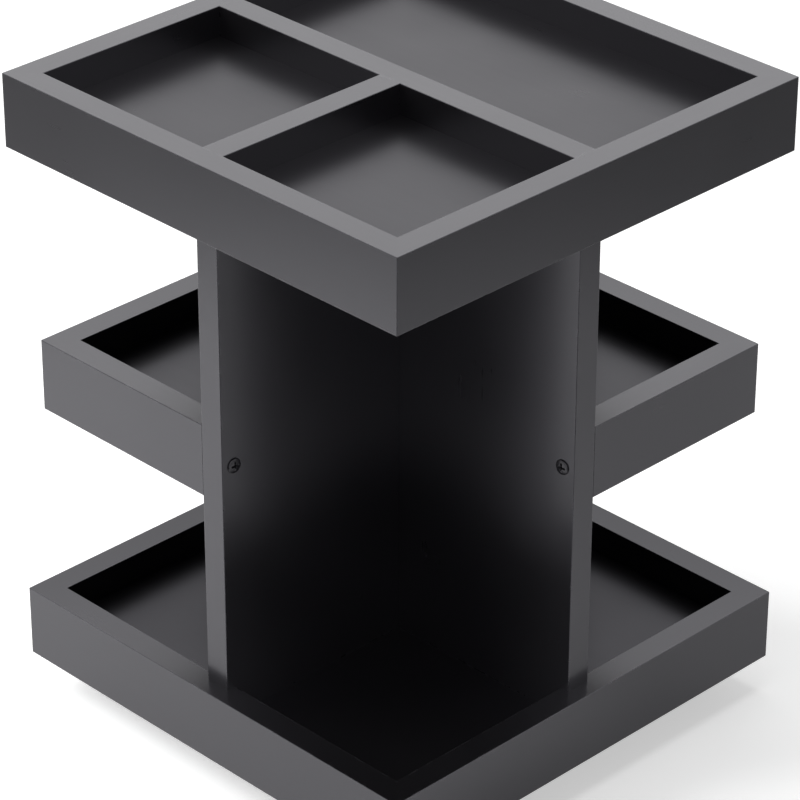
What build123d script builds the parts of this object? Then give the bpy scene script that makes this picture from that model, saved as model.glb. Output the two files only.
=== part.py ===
from build123d import *
import os

# Rotating perfume organizer: a lower and an upper square tray joined by a cross of upright
# panels, a shelf in the left and in the right corner, and a ball-bearing turntable on a round
# base. Millimetres, +Z up, origin on the table under the turning axis. The corner nearest the
# viewer is at +X, -Y, so the -Y face is "front left" and the +X face is "front right".

os.makedirs("parts", exist_ok=True)

# Boards and trays: rims, dividers and uprights are of one board, floors of another. A floor lies
# compartment_depth below the rims' tops and underside_recess above their undersides.
tray_side = 230.0
board = 12.0
floor_board = 12.0
compartment_depth = 14.0
underside_recess = 7.5
floor_tongue = 3.0
divider_housing = 2.0
edge_round = 0.3
mitre_angle = 45

# Storeys: the open height above the lower rims and above the shelves' rims, and how far the
# trays stand out past the cross of uprights and the shelves
clear_height = 90.5
overhang = 7.5
slot_gap = 0.1
shoulder_gap = 0.2
arm_count = 4

# Round base and its feet
base_diameter = 170.0
base_thickness = 12.0
base_round = 1.5
foot_height = 5.5
foot_top_diameter = 20.0
foot_bottom_diameter = 17.0
foot_inset = 15.0
foot_round = 1.0
access_diameter = 12.0

# Ball bearing
bearing_height = 8.5
ring_end_gap = 1.0
ring_flange = 13.4
ring_gap = 1.2
race_diameter = 116.0
race_clearance = 0.05
ball_diameter = 4.0
ball_count = 24
cage_thickness = 0.6
cage_web = 0.6
pocket_clearance = 0.1

# Screws: bodies are plain, and a pilot hole is a little wider than what it holds
pilot_gap = 0.05
clearance_gap = 0.25
head_gap = 0.4
head_round = 0.4
tip_room = 1.0
cross_width = 1.0
cross_share = 0.62
cross_depth = 0.8
countersink_angle = 90

shelf_screw_shank = 4.0
shelf_screw_head = 6.7
shelf_screw_head_height = 1.0
shelf_screw_length = 36.0
shelf_screw_inset = 6.5

panel_screw_shank = 4.0
panel_screw_head = 8.0
panel_screw_length = 34.0
panel_screw_inset = 12.0

ring_screw_shank = 3.0
ring_screw_head = 6.0
ring_screw_length = 14.0
ring_screw_count = 4

foot_screw_shank = 3.0
foot_screw_head = 6.0
foot_screw_head_height = 1.8
foot_screw_length = 9.0
foot_screw_recess = 2.8
foot_count = 4

# Dowels between the panels and the upper tray
dowel_diameter = 8.0
dowel_in_floor = 7.0
dowel_in_panel = 18.0
dowel_radii = (32.0, 82.0)
dowel_chamfer = 0.6

# Dowels between the shelves' floors and the panels
shelf_dowel_diameter = 6.0
shelf_dowel_in_floor = 20.0
shelf_dowel_in_panel = 8.0
shelf_dowel_radii = (34.0, 72.0)

# Plan sizes that follow
half_board = board / 2
inner_side = tray_side - 2 * board
rim_height = compartment_depth + floor_board + underside_recess
panel_reach = tray_side / 2 - overhang
shelf_side = panel_reach - half_board
shelf_floor_side = shelf_side - board
base_radius = base_diameter / 2
race_radius = race_diameter / 2
lower_ring_inner = race_radius + ring_gap / 2
lower_ring_outer = lower_ring_inner + ring_flange
upper_ring_outer = race_radius - ring_gap / 2
upper_ring_inner = upper_ring_outer - ring_flange
lower_screw_radius = (lower_ring_inner + lower_ring_outer) / 2
upper_screw_radius = (upper_ring_inner + upper_ring_outer) / 2
panel_screw_radius = inner_side / 2 - panel_screw_inset
foot_radius = base_radius - foot_inset

# Heights above the table that follow
base_top = foot_height + base_thickness
lower_floor_underside = base_top + bearing_height
lower_tray = lower_floor_underside - underside_recess
lower_rim_top = lower_tray + rim_height
lower_floor_top = lower_floor_underside + floor_board
shelf_underside = lower_rim_top + clear_height
shelf_rim_top = shelf_underside + rim_height
shelf_floor_underside = shelf_underside + underside_recess
upper_tray = shelf_rim_top + clear_height
upper_floor_underside = upper_tray + underside_recess
upper_floor_top = upper_floor_underside + floor_board
total_height = upper_tray + rim_height
panel_middle = (lower_floor_top + upper_floor_underside) / 2
rim_screw_height = shelf_underside + rim_height / 2
shelf_dowel_height = shelf_floor_underside + floor_board / 2
race_height = base_top + bearing_height / 2
ring_height = bearing_height - ring_end_gap

# The four sides of a tray, by the turn about Z that brings +X to each
sides = {"front_right": 0, "back_right": 90, "back_left": 180, "front_left": 270}


def finish(builder, name):
    """Label one finished piece and write it."""
    builder.part.label = name
    export_step(builder.part, f"parts/{name}.step")


def from_axis(edge):
    """Distance of an edge's middle from the turning axis."""
    middle = edge.center()
    return round((middle.X**2 + middle.Y**2) ** 0.5, 3)


# Screws and where they go


def screw(head_diameter, head_height, shank_diameter, length, sunk):
    """One cross-recessed screw, its head's top at z = 0 and its shank along -Z."""
    head, shank = head_diameter / 2, shank_diameter / 2
    with BuildPart() as blank:
        with BuildSketch(Plane.XZ):
            with BuildLine():
                if sunk:
                    rim = [(head, 0), (shank, shank - head)]
                else:
                    rim = [(head, 0), (head, -head_height), (shank, -head_height)]
                Polyline((0, 0), *rim, (shank, shank - length), (0, -length), close=True)
            make_face()
        revolve(axis=Axis.Z)
        if not sunk:
            fillet(blank.edges().filter_by(GeomType.CIRCLE).group_by(Axis.Z)[-1], head_round)
        with BuildSketch():
            Rectangle(head_diameter * cross_share, cross_width)
            Rectangle(cross_width, head_diameter * cross_share)
        extrude(amount=-cross_depth, mode=Mode.SUBTRACT)
    return blank.part


def fasteners(one, places, name):
    """A group of like screws or dowels, one solid at each place."""
    with BuildPart() as group:
        with Locations(*places):
            add(one)
    finish(group, name)


def panel_places(radius, height, rise=0.0):
    """Four places on the panels' faces in the tall bays, looking out of the panel there.

    Each is radius out from the turning axis along one arm of the cross, and rise above the face.
    """
    places = []
    for along, across in ((Vector(1, 0, 0), Vector(0, 1, 0)), (Vector(0, 1, 0), Vector(1, 0, 0))):
        for arm in (1, -1):
            outward = across * -arm
            origin = along * (arm * radius) + outward * (half_board + rise) + Vector(0, 0, height)
            places.append(Plane(origin=origin, z_dir=outward))
    return places


def ring_places(radius, height, count, up, start=0.0):
    """Places round the turning axis that look up or down."""
    z_dir = (0, 0, 1) if up else (0, 0, -1)
    with PolarLocations(radius, count, start_angle=start) as around:
        return [Plane(origin=spot.position + Vector(0, 0, height), z_dir=z_dir) for spot in around]


rim_screw_radius = panel_reach - shelf_screw_inset
rim_screw_mouths = panel_places(rim_screw_radius, rim_screw_height)
rim_screw_places = panel_places(rim_screw_radius, rim_screw_height, shelf_screw_head_height)
panel_screw_places = ring_places(panel_screw_radius, lower_floor_underside, arm_count, up=False)
upper_ring_underside = lower_floor_underside - ring_height
lower_ring_top = base_top + ring_height
upper_ring_places = ring_places(
    upper_screw_radius, upper_ring_underside, ring_screw_count, up=False
)
lower_ring_places = ring_places(lower_screw_radius, lower_ring_top, ring_screw_count, up=True)
foot_places = ring_places(foot_radius, 0.0, foot_count, up=False, start=180 / foot_count)
foot_screw_places = ring_places(
    foot_radius, foot_screw_recess, foot_count, up=False, start=180 / foot_count
)


def shelf_dowel_places(from_shelf):
    """Dowel mouths where the shelves' floors meet the panels, seen from the shelf or the panel."""
    towards = -1 if from_shelf else 1
    return [
        Plane(origin=place.origin, z_dir=place.z_dir * towards)
        for radius in shelf_dowel_radii
        for place in panel_places(radius, shelf_dowel_height, -board)
    ]


# Trays


def divider_plan(height):
    """Plan of the T of dividers: one from side to side, one from its middle to the front left."""
    with BuildSketch(Plane.XY.offset(height)) as plan:
        Rectangle(inner_side, board)
        with Locations((0, -inner_side / 4)):
            Rectangle(board, inner_side / 2)
    return plan.sketch


def tray_frame(underside, divided):
    """Rims of one tray, with the dividers of the upper one, all edges rounded as painted."""
    divider_foot = underside + rim_height - compartment_depth - divider_housing
    with BuildPart() as frame:
        with BuildSketch(Plane.XY.offset(underside)):
            Rectangle(tray_side, tray_side)
            Rectangle(inner_side, inner_side, mode=Mode.SUBTRACT)
        extrude(amount=rim_height)
        if divided:
            extrude(divider_plan(divider_foot), amount=compartment_depth + divider_housing)
        corners = frame.edges().filter_by(Axis.Z).group_by(from_axis)[-1]
        top_edges = frame.faces().filter_by(Axis.Z).sort_by(Axis.Z)[-1].edges()
        bottom_edges = frame.faces().filter_by(Axis.Z).sort_by(Axis.Z)[0].edges()
        fillet(corners + top_edges + bottom_edges, edge_round)
    return frame.part


def tray_rims(frame, underside, tray):
    """The frame cut at 45 degrees into its four rims, each grooved for the floor's tongue."""
    for side, turn in sides.items():
        with BuildPart() as rim:
            add(frame)
            split(bisect_by=Plane.XZ.rotated((0, 0, turn + mitre_angle)), keep=Keep.TOP)
            split(bisect_by=Plane.XZ.rotated((0, 0, turn - mitre_angle)), keep=Keep.BOTTOM)
            split(bisect_by=Plane.YZ.rotated((0, 0, turn)).offset(inner_side / 2), keep=Keep.TOP)
            groove = floor_outline(underside + underside_recess)
            extrude(groove, amount=floor_board, mode=Mode.SUBTRACT)
        finish(rim, f"{tray}_tray_rim_{side}")


def floor_outline(height):
    """Plan of a tray's floor with its tongue all round."""
    with BuildSketch(Plane.XY.offset(height)) as plan:
        Rectangle(inner_side + 2 * floor_tongue, inner_side + 2 * floor_tongue)
    return plan.sketch


lower_frame = tray_frame(lower_tray, divided=False)
upper_frame = tray_frame(upper_tray, divided=True)
tray_rims(lower_frame, lower_tray, "lower")
tray_rims(upper_frame, upper_tray, "upper")

# Lower floor: screwed up into the panels, and to the bearing's turning ring
with BuildPart() as lower_tray_floor:
    extrude(floor_outline(lower_floor_underside), amount=floor_board)
    with Locations(*panel_screw_places):
        CounterSinkHole(
            panel_screw_shank / 2 + clearance_gap,
            panel_screw_head / 2 + clearance_gap,
            floor_board,
            countersink_angle,
        )
    with Locations(*upper_ring_places):
        Hole(ring_screw_shank / 2 + pilot_gap, ring_screw_length + tip_room)
finish(lower_tray_floor, "lower_tray_floor")


def dowel_places(up):
    """Dowel mouths where the panels meet the upper floor, seen from the panel or the floor."""
    rings = [ring_places(radius, upper_floor_underside, arm_count, up) for radius in dowel_radii]
    return sum(rings, [])


# Upper floor: housings for the dividers above, dowel holes below
with BuildPart() as upper_tray_floor:
    extrude(floor_outline(upper_floor_underside), amount=floor_board)
    extrude(divider_plan(upper_floor_top), amount=-divider_housing, mode=Mode.SUBTRACT)
    with Locations(*dowel_places(up=False)):
        Hole(dowel_diameter / 2 + pilot_gap, dowel_in_floor + pilot_gap)
finish(upper_tray_floor, "upper_tray_floor")


def divider(name, reach, front, back):
    """One divider, cut out of the upper frame so that its rounded top runs on into the rims'.

    It reaches that far to either side of the middle and runs from front to back along Y.
    """
    with BuildPart() as strip:
        add(upper_frame)
        split(bisect_by=Plane.YZ.offset(-reach), keep=Keep.TOP)
        split(bisect_by=Plane.YZ.offset(reach), keep=Keep.BOTTOM)
        split(bisect_by=Plane.XZ.offset(-front), keep=Keep.BOTTOM)
        split(bisect_by=Plane.XZ.offset(-back), keep=Keep.TOP)
    finish(strip, name)


divider("long_divider", inner_side / 2, -half_board, half_board)
divider("short_divider", half_board, -inner_side / 2, -half_board)

# Upright panels, lapped across each other at mid height


def cross_panel(name, turn, slot_bottom, slot_top):
    """A full-width upright panel. Its ends stand on the lower rims and carry the upper ones."""
    face = Plane.XZ.rotated((0, 0, turn))
    tongue_reach = inner_side / 2 - shoulder_gap
    with BuildPart() as panel:
        with BuildSketch(face):
            with Locations((0, (lower_rim_top + upper_tray) / 2)):
                Rectangle(2 * panel_reach, upper_tray - lower_rim_top)
            with Locations((0, panel_middle)):
                Rectangle(2 * tongue_reach, upper_floor_underside - lower_floor_top)
            with Locations((0, (slot_bottom + slot_top) / 2)):
                Rectangle(board + 2 * slot_gap, slot_top - slot_bottom, mode=Mode.SUBTRACT)
        extrude(amount=half_board, both=True)
        fillet(panel.edges().filter_by(Axis.Z).group_by(from_axis)[-1], edge_round)
        with Locations(*rim_screw_mouths):
            Hole(shelf_screw_shank / 2 + clearance_gap, board)
        with Locations(*panel_screw_places):
            Hole(panel_screw_shank / 2 + pilot_gap, panel_screw_length + tip_room)
        with Locations(*dowel_places(up=True)):
            Hole(dowel_diameter / 2 + pilot_gap, dowel_in_panel + tip_room)
        with Locations(*shelf_dowel_places(from_shelf=True)):
            Hole(shelf_dowel_diameter / 2 + pilot_gap, shelf_dowel_in_panel + pilot_gap)
    finish(panel, name)


cross_panel("cross_panel_slotted_above", 0, panel_middle, upper_floor_underside)
cross_panel("cross_panel_slotted_below", 90, lower_floor_top, panel_middle)

# Corner shelves


def shelf(name, turn, rim_names):
    """An L of two rims, mitred at the outer corner and butted to the panels, round a floor."""
    corner = (-half_board, -half_board)
    with BuildPart() as frame:
        with BuildSketch(Plane.XY.offset(shelf_underside).rotated((0, 0, turn))):
            with Locations(corner):
                Rectangle(shelf_side, shelf_side, align=Align.MAX)
                Rectangle(
                    shelf_floor_side, shelf_floor_side, align=Align.MAX, mode=Mode.SUBTRACT
                )
        extrude(amount=rim_height)
        outer_corner = frame.edges().filter_by(Axis.Z).group_by(from_axis)[-1]
        level = frame.faces().filter_by(Axis.Z).edges().filter_by(
            lambda edge: edge.length > shelf_floor_side / 2
        )
        fillet(outer_corner + level, edge_round)
    mitre = Plane.XZ.rotated((0, 0, turn + mitre_angle))
    for side, kept in zip(rim_names, (Keep.TOP, Keep.BOTTOM)):
        with BuildPart() as rim:
            add(frame.part)
            split(bisect_by=mitre, keep=kept)
            with Locations(*rim_screw_places):
                Hole(shelf_screw_shank / 2 + pilot_gap, shelf_screw_length + tip_room)
        finish(rim, f"{name}_shelf_{side}_rim")
    with BuildPart() as floor:
        with BuildSketch(Plane.XY.offset(shelf_floor_underside).rotated((0, 0, turn))):
            with Locations(corner):
                Rectangle(shelf_floor_side, shelf_floor_side, align=Align.MAX)
        extrude(amount=floor_board)
        with Locations(*shelf_dowel_places(from_shelf=False)):
            Hole(shelf_dowel_diameter / 2 + pilot_gap, shelf_dowel_in_floor + tip_room)
    finish(floor, f"{name}_shelf_floor")


shelf("left", 0, ("front", "back"))
shelf("right", 180, ("back", "front"))

# Round base, its feet and the bearing
with BuildPart() as base_board:
    with BuildSketch(Plane.XY.offset(foot_height)):
        Circle(base_radius)
    extrude(amount=base_thickness)
    fillet(base_board.edges(), base_round)
    with Locations(*lower_ring_places):
        Hole(ring_screw_shank / 2 + pilot_gap, ring_screw_length + tip_room)
    with Locations(*foot_screw_places):
        Hole(foot_screw_shank / 2 + pilot_gap, foot_screw_length + tip_room)
    with Locations((upper_screw_radius, 0, base_top)):
        Hole(access_diameter / 2)
finish(base_board, "base_board")

with BuildPart() as one_foot:
    Cone(
        foot_bottom_diameter / 2,
        foot_top_diameter / 2,
        foot_height,
        align=(Align.CENTER, Align.CENTER, Align.MIN),
    )
    fillet(one_foot.edges().group_by(Axis.Z)[0], foot_round)
    with Locations(Plane(origin=(0, 0, 0), z_dir=(0, 0, -1))):
        CounterBoreHole(
            foot_screw_shank / 2 + clearance_gap,
            (foot_screw_head + head_gap) / 2,
            foot_screw_recess + foot_screw_head_height,
            foot_height,
        )

with BuildPart() as rubber_feet:
    with Locations(*[place.origin for place in foot_places]):
        add(one_foot.part)
finish(rubber_feet, "rubber_feet")


def ring_section(inner, outer, underside):
    """Section of a bearing ring, with the ball groove in its edge."""
    with BuildSketch(Plane.XZ) as section:
        with Locations(((inner + outer) / 2, underside + ring_height / 2)):
            Rectangle(outer - inner, ring_height)
        with Locations((race_radius, race_height)):
            Circle(ball_diameter / 2 + race_clearance, mode=Mode.SUBTRACT)
    return section.sketch


def ring_screw_holes(places):
    """Countersunk holes through a bearing ring."""
    with Locations(*places):
        CounterSinkHole(
            ring_screw_shank / 2 + clearance_gap,
            ring_screw_head / 2 + clearance_gap,
            ring_height,
            countersink_angle,
        )


with BuildPart() as bearing_lower_ring:
    revolve(ring_section(lower_ring_inner, lower_ring_outer, base_top), axis=Axis.Z)
    ring_screw_holes(lower_ring_places)
finish(bearing_lower_ring, "bearing_lower_ring")

with BuildPart() as bearing_upper_ring:
    revolve(ring_section(upper_ring_inner, upper_ring_outer, upper_ring_underside), axis=Axis.Z)
    ring_screw_holes(upper_ring_places)
finish(bearing_upper_ring, "bearing_upper_ring")

with BuildPart() as bearing_balls:
    with Locations((0, 0, race_height)):
        with PolarLocations(race_radius, ball_count):
            Sphere(ball_diameter / 2)
finish(bearing_balls, "bearing_balls")

with BuildPart() as ball_cage:
    with BuildSketch(Plane.XZ):
        with Locations((race_radius, race_height)):
            Rectangle(cage_thickness, ball_diameter + 2 * (cage_web + pocket_clearance))
    revolve(axis=Axis.Z)
    with Locations((0, 0, race_height)):
        with PolarLocations(race_radius, ball_count):
            Cylinder(
                ball_diameter / 2 + pocket_clearance,
                2 * ring_gap,
                rotation=(0, 90, 0),
                mode=Mode.SUBTRACT,
            )
finish(ball_cage, "ball_cage")

# Fasteners
shelf_screw = screw(
    shelf_screw_head, shelf_screw_head_height, shelf_screw_shank, shelf_screw_length, sunk=False
)
panel_screw = screw(panel_screw_head, 0, panel_screw_shank, panel_screw_length, sunk=True)
ring_screw = screw(ring_screw_head, 0, ring_screw_shank, ring_screw_length, sunk=True)
foot_screw = screw(
    foot_screw_head, foot_screw_head_height, foot_screw_shank, foot_screw_length, sunk=False
)
fasteners(shelf_screw, rim_screw_places, "shelf_rim_screws")
fasteners(panel_screw, panel_screw_places, "panel_screws")
fasteners(ring_screw, upper_ring_places, "upper_ring_screws")
fasteners(ring_screw, lower_ring_places, "lower_ring_screws")
fasteners(foot_screw, foot_screw_places, "foot_screws")


def dowel(diameter, above, below):
    """One dowel along Z with chamfered ends, so far above the joint's face and so far below it."""
    with BuildPart() as rod:
        with Locations((0, 0, (above - below) / 2)):
            Cylinder(diameter / 2, above + below)
        chamfer(rod.edges().filter_by(GeomType.CIRCLE), dowel_chamfer)
    return rod.part


panel_dowel = dowel(dowel_diameter, dowel_in_floor, dowel_in_panel)
shelf_dowel = dowel(shelf_dowel_diameter, shelf_dowel_in_panel, shelf_dowel_in_floor)
fasteners(panel_dowel, dowel_places(up=True), "panel_dowels")
fasteners(shelf_dowel, shelf_dowel_places(from_shelf=False), "shelf_dowels")

print(f"overall {tray_side} x {tray_side} x {total_height} mm")
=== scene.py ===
import math

import bmesh
import bpy
import numpy as np
from bpy.props import FloatProperty, FloatVectorProperty, IntProperty, PointerProperty
from bpy.types import Operator, Panel, PropertyGroup
from mathutils import Matrix, Vector


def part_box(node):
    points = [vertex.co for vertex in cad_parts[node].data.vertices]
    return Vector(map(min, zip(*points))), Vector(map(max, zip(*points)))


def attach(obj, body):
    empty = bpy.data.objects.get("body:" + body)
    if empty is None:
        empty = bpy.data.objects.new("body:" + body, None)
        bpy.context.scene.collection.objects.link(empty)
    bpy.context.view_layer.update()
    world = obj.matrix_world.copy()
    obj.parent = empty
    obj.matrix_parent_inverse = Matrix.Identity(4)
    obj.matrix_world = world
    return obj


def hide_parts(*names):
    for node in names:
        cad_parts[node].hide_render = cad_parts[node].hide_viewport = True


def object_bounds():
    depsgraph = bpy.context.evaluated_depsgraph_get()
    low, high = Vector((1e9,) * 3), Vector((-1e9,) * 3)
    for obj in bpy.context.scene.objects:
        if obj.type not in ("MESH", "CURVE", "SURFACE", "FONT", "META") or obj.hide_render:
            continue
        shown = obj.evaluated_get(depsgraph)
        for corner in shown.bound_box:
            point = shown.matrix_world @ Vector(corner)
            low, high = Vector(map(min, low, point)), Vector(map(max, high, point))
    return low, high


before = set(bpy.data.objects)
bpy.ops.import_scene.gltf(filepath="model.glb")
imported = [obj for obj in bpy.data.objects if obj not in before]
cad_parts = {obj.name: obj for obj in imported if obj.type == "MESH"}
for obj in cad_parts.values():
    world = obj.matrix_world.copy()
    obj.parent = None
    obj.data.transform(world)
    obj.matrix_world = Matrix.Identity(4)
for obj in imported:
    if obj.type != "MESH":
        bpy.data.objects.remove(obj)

bl_info = {
    "name": "Rotating Perfume Organizer",
    "version": (1, 0, 0),
    "blender": (4, 5, 0),
    "location": "View3D > Sidebar > Organizer",
    "description": "Finishes, fasteners and studio of a turntable organizer made of painted boards",
    "category": "Object",
}

# The frame is in metres. +Z is up and the corner nearest the camera is at +X, -Y.
MM = 0.001
cad_low, cad_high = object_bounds()

# Which way each painted board's length runs, as the axis that its grain follows
BOARDS_ALONG_X = (
    "lower_tray_rim_front_left", "lower_tray_rim_back_right", "upper_tray_rim_front_left",
    "upper_tray_rim_back_right", "long_divider", "lower_tray_floor", "upper_tray_floor",
    "left_shelf_front_rim", "right_shelf_back_rim", "left_shelf_floor", "right_shelf_floor",
)
BOARDS_ALONG_Y = (
    "lower_tray_rim_front_right", "lower_tray_rim_back_left", "upper_tray_rim_front_right",
    "upper_tray_rim_back_left", "short_divider", "left_shelf_back_rim", "right_shelf_front_rim",
)
BOARDS_ALONG_Z = ("cross_panel_slotted_above", "cross_panel_slotted_below")

# Fasteners, at the sizes that their holes are drilled for
SHELF_SCREW = 4 * MM
SHELF_SCREW_HEAD = 6.7 * MM
SHELF_SCREW_HEAD_HEIGHT = 1.0 * MM
SHELF_SCREW_LENGTH = 36 * MM
PANEL_DOWEL = 8 * MM
SHELF_DOWEL = 6 * MM
SHELF_DOWEL_LENGTH = 28 * MM
SHELF_DOWEL_IN_PANEL = 8 * MM
DOWEL_CHAMFER = 0.6 * MM
# Node, body, head's diameter and height, thread's diameter, which way the head looks, and the
# angle of the first screw round the turning axis
ZINC_SCREWS = (
    ("panel_screws", "organizer", 8 * MM, 0, 4 * MM, -1, 0),
    ("upper_ring_screws", "organizer", 6 * MM, 0, 3 * MM, -1, 0),
    ("lower_ring_screws", "base", 6 * MM, 0, 3 * MM, 1, 0),
    ("foot_screws", "base", 6 * MM, 1.8 * MM, 3 * MM, -1, math.pi / 4),
)

# A thread's ridge within one pitch: where its points stand, and whether each is on the crest
RIDGE_PHASES = (0.0, 0.42, 0.68, 0.76)
RIDGE_RAISED = (0.0, 0.0, 1.0, 1.0)
# A screw's point in thread diameters, and at most this share of the thread
POINT_DIAMETERS = 2.2
POINT_SHARE = 0.6
# Pitches over which the ridge grows out of the shank
RIDGE_START = 1.5
# A flute within its share of a dowel's round: where its points stand, and how deep each is
FLUTE_PHASES = (0.0, 0.34, 0.44, 0.50, 0.56, 0.66)
FLUTE_DEPTHS = (0.0, 0.0, 0.75, 1.0, 0.75, 0.0)
# Edges of the fasteners that bend by more than this stay sharp
SHARP_EDGE = math.radians(35)
SAME_POINT = 0.001 * MM

# Roughness of each finish in the turntable and its fasteners, before its own variation
ZINC_ROUGHNESS = 0.30
ALUMINIUM_ROUGHNESS = 0.34
STEEL_ROUGHNESS = 0.06
NYLON_ROUGHNESS = 0.46
BEECH_ROUGHNESS = 0.66
RUBBER_ROUGHNESS = 0.74
GREASE_COLOR = (0.52, 0.49, 0.42)
YELLOWED_NYLON = (0.72, 0.66, 0.50)
DUST_COLOR = (0.10, 0.096, 0.092)

# Stage
FLOOR_HALF_WIDTH = 4.0
BACKDROP_HALF_WIDTH = 2.0
# Name, azimuth and elevation in degrees, distance, width and height, watts, and whether
# reflections show the lamp
SOFTBOXES = (
    ("softbox_left", -45, 35, 1.5, (0.9, 0.9), 23, False),
    ("softbox_top", 0, 88, 1.5, (1.0, 1.0), 10, False),
    ("softbox_back", 225, 38, 1.5, (1.6, 1.0), 1.7, True),
)
WHITE = (1, 1, 1, 1)


# Settings


class PaintSettings(PropertyGroup):
    """The satin black paint on the boards, and the grain under it."""

    color: FloatVectorProperty(
        name="Color", description="Colour of the paint film", subtype="COLOR", size=3,
        min=0, max=1, default=(0.0032, 0.0030, 0.0033))
    # The edge colour and the band below: burnished wear, and also a painted highlight that lightens
    # the edges.
    edge_wear_and_highlight_color: FloatVectorProperty(
        name="Edge color", description="Colour where handling has burnished an edge",
        subtype="COLOR", size=3, min=0, max=1, default=(0.024, 0.024, 0.026))
    roughness: FloatProperty(
        name="Roughness", description="How blurred the film's reflections are", min=0, max=1,
        default=0.30, subtype="FACTOR")
    gloss_index: FloatProperty(
        name="Gloss index", description="Refractive index of the film, for how much it reflects",
        min=1, max=2.5, default=1.76)
    gloss_tint: FloatVectorProperty(
        name="Gloss tint", description="Cool cast of the film's reflections", subtype="COLOR",
        size=3, min=0, max=1, default=(0.87, 0.845, 0.975))
    lacquer_roughness: FloatProperty(
        name="Lacquer roughness", description="Roughness of the clear lacquer over the paint",
        min=0, max=1, default=0.17, subtype="FACTOR")
    lacquer_weight: FloatProperty(
        name="Lacquer weight", description="How much clear lacquer lies over the paint", min=0,
        max=1, default=0.5, subtype="FACTOR")
    floor_gloss_index: FloatProperty(
        name="Floor gloss index", description="Refractive index of the film on the floors of the "
        "trays and shelves, which have no lacquer", min=1, max=2.5, default=1.62)
    cloud_size: FloatProperty(
        name="Cloud size", description="Size of the soft patches in the film's tone and gloss",
        min=0.001, default=0.045, unit="LENGTH", precision=4)
    peel_size: FloatProperty(
        name="Peel size", description="Distance from one ripple of the sprayed film to the next",
        min=0.0002, default=0.0016, unit="LENGTH", precision=5)
    peel_height: FloatProperty(
        name="Peel height", description="Height of the ripples of the sprayed film", min=0,
        default=0.0000030, unit="LENGTH", precision=7)
    grain_size: FloatProperty(
        name="Grain size", description="Width of the board's grain lines", min=0.0002,
        default=0.0022, unit="LENGTH", precision=5)
    grain_stretch: FloatProperty(
        name="Grain stretch", description="How many times longer than wide the grain lines are",
        min=1, default=30)
    grain_height: FloatProperty(
        name="Grain height", description="How far the grain lines show through the film", min=0,
        default=0.0000016, unit="LENGTH", precision=7)
    nib_size: FloatProperty(
        name="Nib size", description="Distance between the film's dust nibs", min=0.0001,
        default=0.0004, unit="LENGTH", precision=5)
    nib_height: FloatProperty(
        name="Nib height", description="Height of the film's dust nibs", min=0,
        default=0.000002, unit="LENGTH", precision=7)
    # The band where the edge colour lies: burnished wear and painted edge highlight.
    edge_width: FloatProperty(
        name="Edge width", description="Width of the burnished band along an edge", min=0.0001,
        default=0.0011, unit="LENGTH", precision=5)
    edge_core: FloatProperty(
        name="Edge core", description="Share of the burnished band that is burnished in full",
        min=0, max=0.99, default=0.2, subtype="FACTOR")
    edge_patch: FloatProperty(
        name="Edge patch", description="Size of the worn patches along an edge", min=0.0005,
        default=0.006, unit="LENGTH", precision=4)


class FastenerSettings(PropertyGroup):
    """The screws' heads, recesses and threads, and the dowels' places and flutes."""

    head_round: FloatProperty(
        name="Head rounding", description="Rounding of a pan head's rim", min=0.00005,
        default=0.3 * MM, unit="LENGTH", precision=5)
    head_dome: FloatProperty(
        name="Head dome", description="Height of the low dome of a pan head", min=0,
        default=0.3 * MM, unit="LENGTH", precision=5)
    bevel: FloatProperty(
        name="Bevel", description="Width of the small bevels of a head and its recess",
        min=0.00002, default=0.08 * MM, unit="LENGTH", precision=5)
    cross_share: FloatProperty(
        name="Cross share", description="Length of the cross recess as a share of the head",
        min=0.2, max=0.8, default=0.62, subtype="FACTOR")
    cross_width: FloatProperty(
        name="Cross width", description="Width of the cross recess's arms", min=0.0002,
        default=1.0 * MM, unit="LENGTH", precision=5)
    cross_depth: FloatProperty(
        name="Cross depth", description="Depth of the cross recess", min=0, default=1.1 * MM,
        unit="LENGTH", precision=5)
    pitch_share: FloatProperty(
        name="Pitch share", description="Pitch of a thread as a share of its diameter", min=0.2,
        max=1, default=0.45, subtype="FACTOR")
    core_share: FloatProperty(
        name="Core share", description="Core of a thread as a share of its diameter", min=0.3,
        max=0.9, default=0.62, subtype="FACTOR")
    plain_share: FloatProperty(
        name="Plain share", description="Unthreaded shank as a share of a screw's length", min=0,
        max=0.8, default=0.3, subtype="FACTOR")
    inner_panel_dowels: FloatProperty(
        name="Inner panel dowels", description="Distance of the panels' inner dowels from the "
        "turning axis", default=32 * MM, unit="LENGTH", precision=4)
    inner_shelf_dowels: FloatProperty(
        name="Inner shelf dowels", description="Distance of the shelves' inner dowels from the "
        "turning axis", default=34 * MM, unit="LENGTH", precision=4)
    flutes: IntProperty(name="Flutes", description="Flutes round a dowel", min=3, default=20)
    flute_depth: FloatProperty(
        name="Flute depth", description="Depth of a dowel's flutes", min=0, default=0.3 * MM,
        unit="LENGTH", precision=5)


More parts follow.
